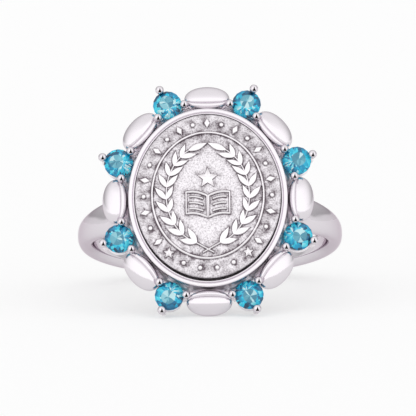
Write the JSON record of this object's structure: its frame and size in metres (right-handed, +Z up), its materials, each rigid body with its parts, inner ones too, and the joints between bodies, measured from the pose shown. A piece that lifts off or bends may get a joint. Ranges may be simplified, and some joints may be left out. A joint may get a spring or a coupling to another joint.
{
  "type": "class ring",
  "caption": "Oval class ring in polished silver: a relief medallion in a bezel, framed by a halo of round blue stones in prongs and smooth oval petals, on a slim band.",
  "frame": {"origin": "middle of the ring's box on the surface that it lies on", "axes": "+Z up from that surface; the medallion faces -Y and a little up; +X to the right of someone who looks at the medallion"},
  "size_m": [0.0198, 0.0233, 0.0162],
  "materials": {
    "polished_silver": "mirror polished",
    "cast_silver": "cast, with darkened ground and polished relief",
    "blue_stone": "brilliant cut, polished"
  },
  "bodies": {
    "root": {"mounting": "polished_silver", "medallion": "cast_silver", "stone_1": "blue_stone", "stone_2": "blue_stone", "stone_3": "blue_stone", "stone_4": "blue_stone", "stone_5": "blue_stone", "stone_6": "blue_stone", "stone_7": "blue_stone", "stone_8": "blue_stone"}
  },
  "joints": []
}
